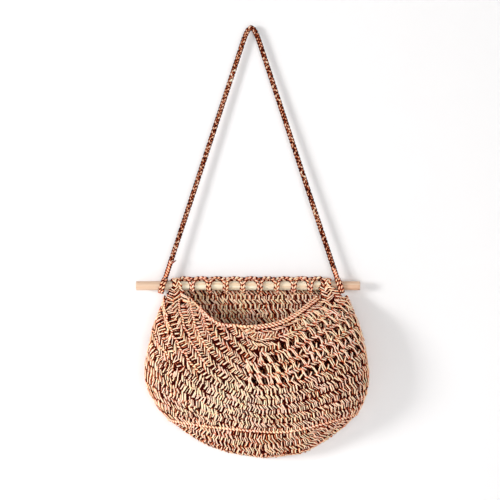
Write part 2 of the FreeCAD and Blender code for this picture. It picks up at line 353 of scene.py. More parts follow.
def pouch_section(z):
    """Left edge, right edge, depth and curve power of the middle of the fabric at height z."""
    drop = np.clip((SHOULDER_Z - z) / POUCH_DROP, 0, 1)
    shoulder = smooth(SECTION_SHARES, 1, drop)
    left = POUCH_LOW[0] * (SHOULDER_LEFT_SHARE * shoulder + smooth(SECTION_SHARES, 2, drop)) + FABRIC / 2
    right = POUCH_HIGH[0] * (SHOULDER_RIGHT_SHARE * shoulder + smooth(SECTION_SHARES, 3, drop)) - FABRIC / 2
    depth = TOP_DEPTH + smooth(SECTION_SHARES, 4, drop) * (POUCH_DEPTH - TOP_DEPTH)
    return left, right, depth, smooth(SECTION_SHARES, 5, drop)


def pouch_edges(z):
    """Left and right edge of the pouch at height z."""
    return pouch_section(z)[:2]


def pouch_x(share, z):
    """X at a share across the pouch, which is -1 and 1 at the edges."""
    left, right = pouch_edges(z)
    return (left + right) / 2 + (right - left) / 2 * share


def pouch_point(x, z, back=0.0):
    """Point of the pouch at a place across and a height.

    The front is half a superellipse on the section's width and depth. back, from 0 to 1, carries a point at
    the side straight back from the superellipse to the panel.
    """
    left, right, depth, power = pouch_section(z)
    middle = (left + right) / 2
    half = np.maximum((right - left) / 2, 1e-5)
    side_y = PANEL_HIGH[1] - SIDE_DEPTH_SHARE * depth
    bulge = (1 - SIDE_DEPTH_SHARE) * depth - FABRIC / 2
    across = np.clip(np.abs(x - middle) / half, 0, 1)
    ahead = np.maximum(1 - across ** power, 0) ** (1 / power)
    y = side_y - bulge * ahead
    return points_at(x, y + back * np.maximum(PANEL_MIDDLE_Y - side_y, 0), z)


def across_share(place):
    """Share across the pouch of a place from -1 to 1: the sine of its quarter turn."""
    return np.sin(np.clip(place, -1, 1) * math.pi / 2)


def ridge_z(share):
    """Height of the ridge at a share across."""
    return ROD_Z - BASKET_HEIGHT * smooth(RIDGE_SHARES, 1, share)


def row_way(share, row):
    """Share of the way from rim to ridge of a stitch row at a share across.

    On the right it is the row's own number. To the left the rows are fanned out from a row below the ridge,
    as a power of the share across, so that they slant down from the left corner.
    """
    spread = FAN_SHARE * np.clip(-share, 0, 1) ** FAN_POWER
    return row + spread * (row - FAN_FROM_SHARE)


def row_z(share, row):
    """Height of a stitch row, which keeps to the rim above it, the ridge below it and the shoulder."""
    way = np.clip(row_way(share, row), 0, 1)
    rim = ROD_Z - RIM_DROP * smooth(RIM_SHARES, 1, share)
    return np.minimum(rim * (1 - way) + ridge_z(share) * way, SHOULDER_Z)


def front_point(place, row):
    """Point of a stitch row on the front.

    The place across is -1 and 1 at the sides, and past them the row runs straight back to the panel.
    """
    share = across_share(place)
    z = row_z(share, row)
    return pouch_point(pouch_x(share, z), z, np.maximum(np.abs(place) - 1, 0) / WRAP)


def in_step(surface, upper, lower, start, end):
    """Upper and lower line of a row on a surface, evenly spread along their middle and square across the row.

    Points of both lines are first taken at the same places across. Then each is moved along its line by half
    of what the way between the two leans along the row.
    """
    place = np.linspace(start, end, LINE_POINTS)
    reach = length_along(surface(place, (upper + lower) / 2))
    place = np.interp(np.linspace(0, reach[-1], LINE_POINTS), reach, place)
    lines = [surface(place, row) for row in (upper, lower)]
    along = unit(np.gradient(lines[0] + lines[1], axis=0))
    lean = ((lines[0] - lines[1]) * along).sum(axis=1) / 2
    return [walk(line, length_along(line) + shift) for line, shift in zip(lines, (-lean, lean))]


def front_reach(upper, lower, low=0.0, high=1.0):
    """First and last place across where the middle of a row is below the shoulder and between two ways."""
    place = np.linspace(-1 - WRAP, 1 + WRAP, 4 * LINE_POINTS)
    share = across_share(place)
    middle = (upper + lower) / 2
    way = row_way(share, middle)
    inside = place[(row_z(share, middle) < SHOULDER_Z) & (way >= low) & (way <= high)]
    return (inside[0], inside[-1]) if len(inside) else (0.0, 0.0)


def front_band(upper, lower, start=-1 - WRAP, end=1 + WRAP, low=0.0, high=1.0):
    """Band between two rows of the front, between two places across and two ways, or nothing."""
    first, last = front_reach(upper, lower, low, high)
    first, last = max(start, first), min(end, last)
    if last - first <= SHORTEST_ROW_SHARE:
        return None
    return Band(*in_step(front_point, upper, lower, first, last))


def tall_reach(upper, lower):
    """Last place across where a row of the front is too tall, measured square across the row."""
    place = np.linspace(-1, 1, LINE_POINTS)
    top = front_point(place, upper)
    foot = front_point(place, lower)
    along = unit(np.gradient(top + foot, axis=0))
    rise = top - foot
    rise = rise - (rise * along).sum(axis=1, keepdims=True) * along
    tall = place[np.linalg.norm(rise, axis=1) > TALLEST_ROW]
    return tall[-1] if len(tall) else -2.0


def bottom_z(x):
    """Height of the lower outline at a place across: that of the low section which has its edge there."""
    z = np.linspace(PANEL_LOW[2], SHOULDER_Z - POUCH_DROP * 0.6, LINE_POINTS)
    left, right = pouch_edges(z)
    tip = (left[0] + right[0]) / 2
    on_left = np.interp(-x, np.maximum.accumulate(-left), z)
    on_right = np.interp(x, np.maximum.accumulate(right), z)
    return np.where(x < tip, on_left, on_right)


def base_edge(place):
    """X and height of the ridge at a place across, which is -1 and 1 where it meets the lower outline."""
    share = across_share(place)
    ridge = ridge_z(share)
    return pouch_x(share, ridge), ridge


def base_point(place, rise):
    """Point of a row of the base, which keeps a height above the lower outline and stops at the ridge."""
    x, ridge = base_edge(place)
    return pouch_point(x, np.minimum(bottom_z(x) + rise, ridge))


def base_reach(rise):
    """First and last place across where the ridge is at least the given height above the lower outline."""
    place = np.linspace(-1, 1, LINE_POINTS)
    x, ridge = base_edge(place)
    clear = place[ridge - bottom_z(x) >= rise]
    return clear[0], clear[-1]


class Band:
    """Strip between an upper and a lower line, on which a row is worked."""

    def __init__(self, upper, lower):
        self.upper = upper
        self.lower = lower
        middle = (upper + lower) / 2
        self.length = length_along(middle)[-1]
        self.strokes = self.length / sizes().stroke
        self.along = unit(np.gradient(middle, axis=0))
        self.out = unit(np.cross(self.along, upper - lower + 1e-9 * UP))

    def point(self, along, across, out):
        """Point at a share of the length, a share of the height from the lower line, and a distance out."""
        upper = at(self.upper, along)
        lower = at(self.lower, along)
        across, out = np.reshape(across, (-1, 1)), np.reshape(out, (-1, 1))
        return lower + (upper - lower) * across + at(self.out, along) * out


# Strands of yarn


def tube(rings, sides, start=0):
    """Faces between rings of corners, numbered from start, and a cap on the first and the last ring."""
    index = start + np.arange(rings * sides).reshape(rings, sides)
    following = np.roll(index, -1, axis=1)
    quads = np.stack([index[:-1], following[:-1], following[1:], index[1:]], axis=2)
    return quads.reshape(-1, 4), [index[0, ::-1], index[-1]]


def tube_mesh(name, points, quads, caps):
    """Mesh of the faces and then the caps of tubes."""
    mesh = bpy.data.meshes.new(name)
    mesh.from_pydata(points.tolist(), [], quads.tolist() + [cap.tolist() for cap in caps])
    return mesh


class Yarn:
    """Strands of yarn that are gathered into one mesh."""

    def __init__(self, seed):
        self.random = np.random.default_rng(seed)
        self.sides = sizes().sides
        self.rings = []
        self.tones = []
        self.reaches = []

    def strand(self, path, radius, reference, tone, normal, depth=0.0, full=None, front=0.0):
        """Tube along a path.

        At each point a regular polygon of the given radius stands square to the path, and its first corner
        points as nearly as it can along the reference direction. The tone of a corner grows with its distance
        along the normal from the middle of the fabric, where depth is the path's own distance and full is
        that of the outside: this is painted shade on the strands' sides and in the gaps, and a painted
        highlight on their crowns. Corners on the normal's side of the fabric are darker by front, which is
        painted shade.
        """
        tangent = unit(np.gradient(path, axis=0))
        lean = (reference * tangent).sum(axis=1, keepdims=True)
        side = unit(reference - lean * tangent)
        other = np.cross(tangent, side)
        turn = 2 * math.pi * np.arange(self.sides) / self.sides
        ring = np.cos(turn)[None, :, None] * side[:, None] + np.sin(turn)[None, :, None] * other[:, None]
        thick = np.broadcast_to(radius, len(path))
        self.rings.append(path[:, None] + thick[:, None, None] * ring)
        outward = np.broadcast_to(normal, path.shape)[:, None]
        away = np.reshape(depth, (-1, 1)) + thick[:, None] * (ring * outward).sum(axis=2)
        # Painted shade towards the middle of the fabric, painted highlight on the crowns, and painted shade
        # by front
        crown = np.abs(away) / (full or thick.max()) - DEPTH_LEVEL
        tones = np.reshape(tone, (-1, 1)) + DEPTH_SHADE_AND_HIGHLIGHT * crown - front * (away > 0)
        self.tones.append(np.clip(tones, 0, 1).ravel())
        self.reaches.append(length_along(path))

    def uneven(self, count, step):
        """Smooth random values around 0, one knot every step points."""
        knots = self.random.normal(size=count // step + 3)
        return np.interp(np.arange(count), np.arange(len(knots)) * step, knots)

    def mesh(self, name):
        """One mesh of all strands, with end caps, a bake map of packed lines and a map along the yarn.

        The bake map writes the faces of all strands one after another in lines, as text on a page. The yarn
        map holds the distance along a strand and the share of the way round it.
        """
        sides = self.sides
        quads, caps, along, start = [], [], [], 0
        for ring, reach in zip(self.rings, self.reaches):
            faces, ends = tube(len(ring), sides, start)
            quads.append(faces)
            caps += ends
            along.append(np.stack([reach[:-1], reach[1:]], axis=1))
            start += len(ring) * sides
        quads = np.concatenate(quads)
        along = np.concatenate(along)
        pieces = len(along)
        line = max(1, int(math.sqrt(pieces * sides)))
        number = np.repeat(np.arange(pieces), sides)
        yarn_u = along[number][:, [0, 0, 1, 1]]
        yarn_v = (np.tile(np.arange(sides), pieces)[:, None] + np.array([0, 1, 1, 0])) / sides
        bake_u = (number % line)[:, None] / line + np.array([0, 0, 1, 1]) / line
        bake_v = ((number // line)[:, None] + yarn_v) / -(-pieces // line)
        points = np.concatenate([ring.reshape(-1, 3) for ring in self.rings])
        mesh = tube_mesh(name, points, quads, caps)
        mesh.shade_smooth()
        for layer, u, v in (("OFBake", bake_u, bake_v), ("yarn", yarn_u, yarn_v)):
            spread = np.zeros((len(mesh.loops), 2))
            spread[:quads.size] = np.stack([u.ravel(), v.ravel()], axis=1)
            mesh.uv_layers.new(name=layer).data.foreach_set("uv", spread.ravel())
        # Tones per corner: the yarn's own tones together with the painted shade and highlight that strand()
        # gives them
        tone = mesh.attributes.new("tone", "FLOAT", "POINT")
        tone.data.foreach_set("value", np.concatenate(self.tones))
        return mesh


def add_piece(name, mesh, material, body, node):
    """Object of a finished mesh that rides on a body and stands for a node."""
    piece = bpy.data.objects.new(name, mesh)
    bpy.context.scene.collection.objects.link(piece)
    mesh.materials.append(material)
    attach(piece, body)
    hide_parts(node)
    return piece


def add_fabric(name, yarn, material, node):
    """Piece of yarn that belongs to the basket."""
    return add_piece(name, yarn.mesh(name), material, "basket", node)


def add_cord(name, yarn, material, node):
    """Piece of yarn that belongs to the hanger."""
    return add_piece(name, yarn.mesh(name), material, "hanger", node)


def squared(wave, power):
    """A wave with its sign kept and its size raised to a power below 1."""
    return np.sign(wave) * np.abs(wave) ** power


def work_row(yarn, band, strokes, slant, phase=0.0, reach=ROW_REACH, tone=DENSE_TONE, front=0.0,
             plies=FRONT_PLIES, backing_shade=BACKING_SHADE_TONE):
    """Row of stitches: a light and a darker strand wound on by turns along a band.

    Over each turn a strand goes up the front and down the back of the band, between a low and a high share
    of its height. Height is minus the cosine of the turn and distance out is its sine, both squared off. The
    step along the row is even, plus a lean that carries the top of a stroke slant strokes on, plus a sine of
    twice the turn that curls the stroke. Every value wanders a little from stroke to stroke, and a painted
    pool of light makes the yarn lighter near the middle of the belly, as a bell curve of the distance from
    there.
    """
    low, high = reach
    loft = sizes().loft
    radius = sizes().yarn / 2
    whole = int(strokes / 2) + 1
    count = whole * STEPS + 1
    turn = np.arange(count) / STEPS
    angle = 2 * math.pi * turn
    height = -squared(np.cos(angle), HEIGHT_POWER)
    depth = loft * squared(np.sin(angle), OUT_POWER)
    lean = (slant - 1) * (1 - np.cos(angle)) / 2 + CURL * np.sin(2 * angle)
    for ply, (shade, share, lift) in enumerate(plies):
        wander = WANDERS[0] * yarn.uneven(count, STEPS // 2) + WANDERS[1] * yarn.uneven(count, STEPS)
        along = 1 + (2 * (turn - whole) + phase + ply + lean + wander) / strokes
        across = (low + high) / 2 + (high - low) / 2 * height + HEIGHT_JITTER * yarn.uneven(count, STEPS // 2)
        tint = tone + shade + TINT_JITTER * yarn.uneven(count, STEPS)
        thick = radius * share * (1 + THICK_JITTER * yarn.uneven(count, STEPS))
        points = band.point(along, across, depth + lift + LIFT_JITTER * yarn.uneven(count, STEPS))
        # Painted pool of light on the belly
        away = np.linalg.norm((points - BELLY_LIGHT_PLACE) / BELLY_LIGHT_REACH, axis=1)
        tint = tint + BELLY_LIGHT_TONE * np.exp(-away ** 2)
        yarn.strand(points, thick, at(band.along, along), tint, at(band.out, along), depth, loft + radius,
                    front)
    back_up(yarn, band, backing_shade)


def back_up(yarn, band, tone):
    """Strands that run straight along the middle of a band and close it behind its stitches; their dark tone
    is painted shade seen through the gaps.
    """
    height = np.median(np.linalg.norm(band.upper - band.lower, axis=1))
    radius = min(BACKING_SHARE * height, BACKING_RADIUS)
    along = np.linspace(0, 1, max(4, int(band.length / BACKING_STEP)))
    out = at(band.out, along)
    for across in BACKING_PLACES:
        yarn.strand(band.point(along, across, 0.0), radius, out, tone, out)


def twist(yarn, path, normal, rope, lay, start=0.0):
    """Rope laid round a path: each strand keeps its offset from the path and goes round it once in a lay."""
    tangent = unit(np.gradient(path, axis=0))
    side = unit(normal - (normal * tangent).sum(axis=1, keepdims=True) * tangent)
    other = np.cross(tangent, side)
    turns = length_along(path) / lay
    for number in range(rope.strands):
        angle = start + 2 * math.pi * (turns + number / rope.strands)
        shift = rope.offset * (np.cos(angle)[:, None] * side + np.sin(angle)[:, None] * other)
        tint = rope.tone + ROPE_TINT_JITTER * yarn.uneven(len(path), 6)
        # Each strand is lighter on the rope's outside and darker on its inside: painted highlight and shade
        yarn.strand(path + shift, rope.radius, side, tint, side, rope.offset * np.cos(angle),
                    rope.offset + rope.radius)


def braid(yarn, path, across, normal, plait):
    """Plait of strands along a path.

    Each strand swings from side to side as a sine of the way, and in and out at twice that rate, an equal
    part of a lay behind the one before it.
    """
    reach = length_along(path)
    for number, tone in enumerate(plait.tones):
        wander = PLAIT_WANDER * yarn.uneven(len(path), 8)
        angle = 2 * math.pi * (reach / plait.lay + number / len(plait.tones) + wander)
        depth = plait.depth * np.sin(2 * angle)
        shift = plait.width * np.sin(angle)[:, None] * across + depth[:, None] * normal
        tint = tone + PLAIT_TINT_JITTER * yarn.uneven(len(path), 8)
        # Each strand is lighter where it comes out and darker where it dips in: painted highlight and shade
        yarn.strand(path + shift, plait.radius, normal, tint, normal, depth, plait.depth + plait.radius)


# Materials


class Value:
    """A node's output; arithmetic on it adds Math nodes."""

    def __init__(self, finish, socket):
        self.finish = finish
        self.socket = socket

    def output(self, name):
        """Another output of the same node."""
        return Value(self.finish, self.socket.node.outputs[name])

    def maths(self, operation, first, second):
        return self.finish.node("ShaderNodeMath", {0: first, 1: second}, operation=operation)

    def __add__(self, other):
        return self.maths("ADD", self, other)

    def __sub__(self, other):
        return self.maths("SUBTRACT", self, other)

    def __rsub__(self, other):
        return self.maths("SUBTRACT", other, self)

    def __mul__(self, other):
        return self.maths("MULTIPLY", self, other)

    __radd__ = __add__
    __rmul__ = __mul__


class Finish:
    """Material under construction."""

    def __init__(self, name):
        self.material = bpy.data.materials.new(name)
        self.material.use_nodes = True
        self.tree = self.material.node_tree
        self.tree.nodes.clear()

    def node(self, kind, inputs=None, output=0, **settings):
        """Node of a kind with its settings, then the values or links of its sockets."""
        node = self.tree.nodes.new(kind)
        for key, value in settings.items():
            setattr(node, key, value)
        for key, value in (inputs or {}).items():
            if isinstance(value, Value):
                self.tree.links.new(value.socket, node.inputs[key])
            else:
                node.inputs[key].default_value = value
        return Value(self, node.outputs[output])

    def place(self):
        """Object coordinates."""
        return self.node("ShaderNodeTexCoord", output="Object")

    def noise(self, vector, scale, detail=2.0):
        """Noise value around 0.5 on a vector."""
        return self.node("ShaderNodeTexNoise", {"Vector": vector, "Scale": scale, "Detail": detail})

    def ramp(self, value, *stops):
        """Colour of a value between stops of place and colour."""
        tint = self.node("ShaderNodeValToRGB", {"Fac": value})
        elements = tint.socket.node.color_ramp.elements
        while len(elements) < len(stops):
            elements.new(1.0)
        for element, (place, shade) in zip(elements, stops):
            element.position = place
            element.color = (*shade, 1.0)
        return tint

    def product(self, first, second):
        """Product of two colours."""
        return self.node("ShaderNodeMix", {0: 1.0, 6: first, 7: second}, output=2, data_type="RGBA",
                         blend_type="MULTIPLY")

    def bump(self, height, strength, distance):
        """Normal of a surface that is raised by a height."""
        return self.node("ShaderNodeBump", {"Strength": strength, "Distance": distance, "Height": height})

    def surface(self, tint, roughness, normal, shine):
        """Finished material of one plain surface."""
        return self.output(self.node("ShaderNodeBsdfPrincipled", {
            "Base Color": tint, "Roughness": roughness, "Normal": normal, "Specular IOR Level": shine}))

    def output(self, shader):
        """Finished material of a shader."""
        end = self.tree.nodes.new("ShaderNodeOutputMaterial")
        self.tree.links.new(shader.socket, end.inputs["Surface"])
        return self.material


def jute_finish(name, shade=0.0, rosy=(1.0, 0.85, 0.84), golden=(1.0, 0.94, 0.78)):
    """Jute yarn: light and dark strands, rosy and golden patches, streaks of fibre, and two plies as bump."""
    if name in bpy.data.materials:
        return bpy.data.materials[name]
    finish = Finish(name)
    place = finish.place()
    along = finish.node("ShaderNodeUVMap", uv_map="yarn")
    reach = finish.node("ShaderNodeSeparateXYZ", {"Vector": along})
    around = reach.output("Y")
    # The tone attribute holds the yarn's own tones together with painted shade, painted highlight and the
    # painted light on the belly
    tone = finish.node("ShaderNodeAttribute", output="Fac", attribute_name="tone")
    drawn = finish.node("ShaderNodeCombineXYZ", {"X": reach * 260.0, "Y": around * 5.0})
    fibre = finish.noise(drawn, 1.0, 3.0)
    patch = finish.noise(place, 28.0)
    mix = tone + fibre * 0.4 + patch * 0.24 - 0.32 - shade
    tint = finish.ramp(mix, (0.14, colours().jute_dark), (0.38, colours().jute_russet),
                       (0.62, colours().jute_middle), (0.92, colours().jute_light))
    hue = finish.ramp(finish.noise(place, 75.0), (0.36, rosy), (0.64, golden))
    ply = finish.node("ShaderNodeMath", {0: around * 12.566 + reach * 1600.0}, operation="SINE")
    bump = finish.bump(ply * 0.3 + fibre * 0.7, 0.5, 0.0004)
    return finish.surface(finish.product(tint, hue), 0.72 + fibre * 0.25, bump, 0.06)


def wood_finish():
    """Pale sanded wood with fine grain along the rod, a little darker towards the rod's ends."""
    finish = Finish("rod_wood")
    place = finish.place()
    drawn = finish.node("ShaderNodeMapping", {"Vector": place, "Scale": (14.0, 420.0, 420.0)})
    grain = finish.noise(drawn, 1.0, 4.0)
    broad = finish.node("ShaderNodeMapping", {"Vector": place, "Scale": (5.0, 110.0, 110.0)})
    mix = grain * 0.7 + finish.noise(broad, 1.0) * 0.6 - 0.3
    tint = finish.ramp(mix, (0.2, colours().wood_grain), (0.48, colours().wood_light),
                       (0.9, colours().wood_light))
    parts = finish.node("ShaderNodeSeparateXYZ", {"Vector": place})
    away = finish.node("ShaderNodeMath", {0: parts}, operation="ABSOLUTE")
    # Darker towards the rod's ends
    ends_darker = finish.ramp(away, (0.09, WHITE), (0.12, (0.73, 0.57, 0.53)))
    bump = finish.bump(grain, 0.25, 0.0003)
    return finish.surface(finish.product(tint, ends_darker), 0.5 + grain * 0.25, bump, 0.3)


def wall_finish(name):
    """Plain pale paint that keeps shadows.

    Rays from the camera see a share of even white. The back of the surface is clear, and so is the surface
    to shadow rays, so that the basket can be seen and lit from behind.
    """
    finish = Finish(name)
    bump = finish.bump(finish.noise(finish.place(), 900.0), 0.04, 0.0002)
    paint = finish.node("ShaderNodeBsdfDiffuse", {"Color": (*colours().wall, 1.0), "Normal": bump})
    white = finish.node("ShaderNodeEmission", {"Color": (*WHITE, 1.0), "Strength": 1.0})
    ray = finish.node("ShaderNodeLightPath", output="Is Camera Ray")
    seen = ray + ray.output("Is Glossy Ray") + ray.output("Is Transmission Ray")
    lit = finish.node("ShaderNodeMixShader", {0: seen * WALL_GLOW, 1: paint, 2: white})
    clear = finish.node("ShaderNodeBsdfTransparent")
    behind = finish.node("ShaderNodeNewGeometry", output="Backfacing")
    hidden = finish.node("ShaderNodeMath", {0: behind, 1: ray.output("Is Shadow Ray")}, operation="MAXIMUM")
    return finish.output(finish.node("ShaderNodeMixShader", {0: hidden, 1: lit, 2: clear}))


def cloth():
    """Jute of the pouch, the tabs and the ropes."""
    return jute_finish("jute_fabric_yarn")


def lining():
    """Jute of the panel, redder than the rest as painted warm light reflected into the shaded pouch."""
    return jute_finish("jute_panel_yarn", 0.0, (1.0, 0.82, 0.78), (1.0, 0.9, 0.72))


def cording():
    """Greyer and darker jute of the hanging cord."""
    return jute_finish("jute_cord_yarn", 0.1, (0.68, 0.84, 0.92), (0.72, 0.91, 0.9))


# Pieces


class BASKET_OT_hanging_cord(bpy.types.Operator):
    """Plait the taut cord that goes from the rod over the hook and back"""

    bl_idname = "basket.hanging_cord"
    bl_label = "Hanging cord"

    def execute(self, context):
        curve = bpy.data.curves.new("cord_route", "CURVE")
        curve.dimensions = "3D"
        curve.resolution_u = 64
        spline = curve.splines.new("NURBS")
        spline.points.add(len(CORD_ROUTE) - 1)
        for point, place in zip(spline.points, CORD_ROUTE):
            point.co = (*place, 1.0)
        spline.order_u = 3
        spline.use_endpoint_u = True
        guide = bpy.data.objects.new("cord_route", curve)
        bpy.context.scene.collection.objects.link(guide)
        line = bpy.data.meshes.new_from_object(guide)
        points = np.zeros(len(line.vertices) * 3)
        line.vertices.foreach_get("co", points)
        bpy.data.objects.remove(guide)
        points = points.reshape(-1, 3)
        length = length_along(points)[-1]
        path = even(points, int(length / CORD_STEP))
        yarn = Yarn(seed=3)
        braid(yarn, path, unit(np.cross(np.gradient(path, axis=0), FORWARD)), FORWARD, CORD_PLAIT)
        piece = add_cord("hanging_cord_twist", yarn, cording(), "hanging_cord")
        [tuple(point) for point in points]
        return {"FINISHED"}


def cord_leg(side):
    """End of a leg of the cord at the rod, and the direction from there up to the hook."""
    end, near = np.array(CORD_ROUTE if side < 0 else CORD_ROUTE[::-1])[:2]
    return end, unit(near - end)


class BASKET_OT_cord_eyes(bpy.types.Operator):
    """Lay the two eyes of cord round the rod"""

    bl_idname = "basket.cord_eyes"
    bl_label = "Cord eyes"

    def execute(self, context):
        turn = np.linspace(0, 2 * math.pi, 73)
        for name, side in (("left_cord_eye", -1), ("right_cord_eye", 1)):
            low, high = corners(name)
            centre = (low + high) / 2
            radius = (high[1] - low[1]) / 2 - EYE_INSET
            up = cord_leg(side)[1]
            path = centre + radius * (np.cos(turn)[:, None] * up + np.sin(turn)[:, None] * FORWARD)
            yarn = Yarn(seed=11 + side)
            for beside in (-EYE_SPREAD, EYE_SPREAD):
                twist(yarn, path + beside * np.cross(up, FORWARD), unit(path - centre), EYE_ROPE,
                      sizes().cord_lay, start=beside)
            add_cord(name + "_rope", yarn, cloth(), name)
        return {"FINISHED"}


class BASKET_OT_cord_splices(bpy.types.Operator):
    """Work the doubled ends of the cord back into its legs, with a tail of yarn on the left"""

    bl_idname = "basket.cord_splices"
    bl_label = "Cord splices"

    def execute(self, context):
        for name, side in (("left_cord_splice", -1), ("right_cord_splice", 1)):
            end, up = cord_leg(side)
            low, high = corners(name)
            length = (high[2] - low[2]) / up[2] * SPLICE_SHARE
            path = end - up * np.linspace(length, -SPLICE_OVERLAP, 60)[:, None]
            yarn = Yarn(seed=21 + side)
            twist(yarn, path, FORWARD, SPLICE_ROPE, sizes().cord_lay * side)
            if side < 0:
                way = np.linspace(0, 1, 14)[:, None]
                tail = end - up * TAIL_FOOT + way * TAIL_REACH + way ** 2 * TAIL_CURL
                # The tail is lighter where it faces front and back and darker on its flanks: painted
                # highlight and shade
                yarn.strand(tail, np.linspace(*TAIL_RADII, len(way)), FORWARD, TAIL_TONE, FORWARD)
            add_cord(name + "_plait", yarn, cloth(), name)
        return {"FINISHED"}


class BASKET_OT_rod(bpy.types.Operator):
    """Turn the wooden rod"""

    bl_idname = "basket.rod"
    bl_label = "Rod"

    def execute(self, context):
        """Profile of length and radius, with a quarter circle at each end, carried round the rod's axis."""
        ease = np.linspace(0, math.pi / 2, 6)
        inset = ROD_EASE * (1 - np.cos(ease))
        rise = ROD_RADIUS - ROD_EASE + ROD_EASE * np.sin(ease)
        body = np.linspace(ROD_LOW[0] + ROD_EASE, ROD_HIGH[0] - ROD_EASE, ROD_STEPS)[1:-1]
        x = np.concatenate([ROD_LOW[0] + inset, body, ROD_HIGH[0] - inset[::-1]])
        radius = np.concatenate([rise, np.full(len(body), ROD_RADIUS), rise[::-1]])
        points = round_rod(x[:, None], radius[:, None], 2 * math.pi * np.arange(ROD_SIDES) / ROD_SIDES)
        quads, caps = tube(len(x), ROD_SIDES)
        mesh = tube_mesh("rod_turned", points.reshape(-1, 3), quads, caps)
        mesh.polygons.foreach_set("use_smooth", np.arange(len(mesh.polygons)) < len(quads))
        add_piece("rod_turned", mesh, wood_finish(), "rod", "rod")
        return {"FINISHED"}


def row_slant(number):
    """Slant of a row: long and short ones by turns."""
    return sizes().short_slant if number % 2 else sizes().long_slant


def panel_edges(z):
    """Left and right end of the back panel at height z."""
    return (TAB_LOW[0], TAB_HIGH[0]) if z > SHOULDER_Z else pouch_edges(z)


class BASKET_OT_back_panel(bpy.types.Operator):
    """Work the flat back panel row by row, in an upper and a lower half"""

    bl_idname = "basket.back_panel"
    bl_label = "Back panel"

    def execute(self, context):
        rows = round((PANEL_HIGH[2] - PANEL_LOW[2]) / sizes().row)
        edges = np.linspace(PANEL_HIGH[2], PANEL_LOW[2] + PANEL_HEM, rows + 1)
        halves = {"back_panel_upper": range(rows // 2), "back_panel_lower": range(rows // 2, rows)}
        lean = 0.0
        for seed, (name, numbers) in enumerate(halves.items()):
            yarn = Yarn(seed=31 + seed)
            for number in numbers:
                heights = edges[number:number + 2]
                ends = np.array([panel_edges(z) for z in heights])
                x = np.linspace(ends[:, 0].max(), ends[:, 1].min(), LINE_POINTS)
                band = Band(*(points_at(x, PANEL_MIDDLE_Y, z) for z in heights))
                strokes = max(PANEL_FEWEST, band.length / (PANEL_STROKE_SHARE * sizes().stroke))
                lean -= row_slant(number)
                phase = (lean - x[-1] / sizes().stroke) % 1
                # Painted shade on the panel's inner side below the rim, where the pouch hides it
                shaded = np.clip((ROD_Z - RIM_DROP - heights[0]) / PANEL_SHADE_REACH, 0, 1)
                work_row(yarn, band, strokes, row_slant(number), phase, tone=PANEL_TONE,
                         front=PANEL_SHADE * shaded, plies=PANEL_PLIES, backing_shade=PANEL_BACKING_SHADE_TONE)
            add_fabric(name, yarn, lining(), "back_panel")
        return {"FINISHED"}


class BASKET_OT_top_edge_chain(bpy.types.Operator):
    """Chain the panel's top edge in shallow scallops"""

    bl_idname = "basket.top_edge_chain"
    bl_label = "Top edge chain"

    def execute(self, context):
        x = np.linspace(CHAIN_LOW[0], CHAIN_HIGH[0], 260)
        wave = np.abs(np.sin(math.pi * (x - LOOP_PLACES[0]) / LOOP_STEP))
        z = (CHAIN_LOW[2] + CHAIN_HIGH[2]) / 2 - CHAIN_SINK + CHAIN_SCALLOP * wave
        yarn = Yarn(seed=41)
        braid(yarn, points_at(x, PANEL_MIDDLE_Y - CHAIN_AHEAD, z), UP, FORWARD, CHAIN_PLAIT)
        add_fabric("top_edge_chain_rope", yarn, cloth(), "top_edge_chain")
        return {"FINISHED"}


class BASKET_OT_rod_loops(bpy.types.Operator):
    """Carry pairs of ropes from the edge chain over the rod and back under it"""

    bl_idname = "basket.rod_loops"
    bl_label = "Rod loops"

    def execute(self, context):
        """Each rope goes round the rod's axis and keeps to the edge of an oval window of bare rod."""
        half = LOOP_STEP / 2
        turn = np.radians(LOOP_START + LOOP_SWEEP * np.linspace(0, 1, 48))
        rise = np.clip(np.sin(turn), 0, 1)
        edge = half - WINDOW_SHARE * half * np.sqrt(1 - WINDOW_ROUND * rise ** 2)
        outward = points_at(0.0, np.cos(turn), np.sin(turn))
        for seed, (node, place) in enumerate(zip(LOOP_NODES, LOOP_PLACES)):
            yarn = Yarn(seed=51 + seed)
            for hand in (-1, 1):
                sway = LOOP_SWAY * yarn.uneven(len(turn), 8)
                x = place + hand * LOOP_EDGE_SHARE * edge + sway
                path = round_rod(x, ROD_RADIUS + LOOP_CLEAR + LOOP_STAGGER * hand, turn)
                path[:, 1] = np.minimum(path[:, 1], PANEL_LOW[1])
                twist(yarn, path, outward, LOOP_ROPE, LOOP_LAY * hand, start=seed)
            add_fabric(node + "_strands", yarn, cloth(), node)
        return {"FINISHED"}


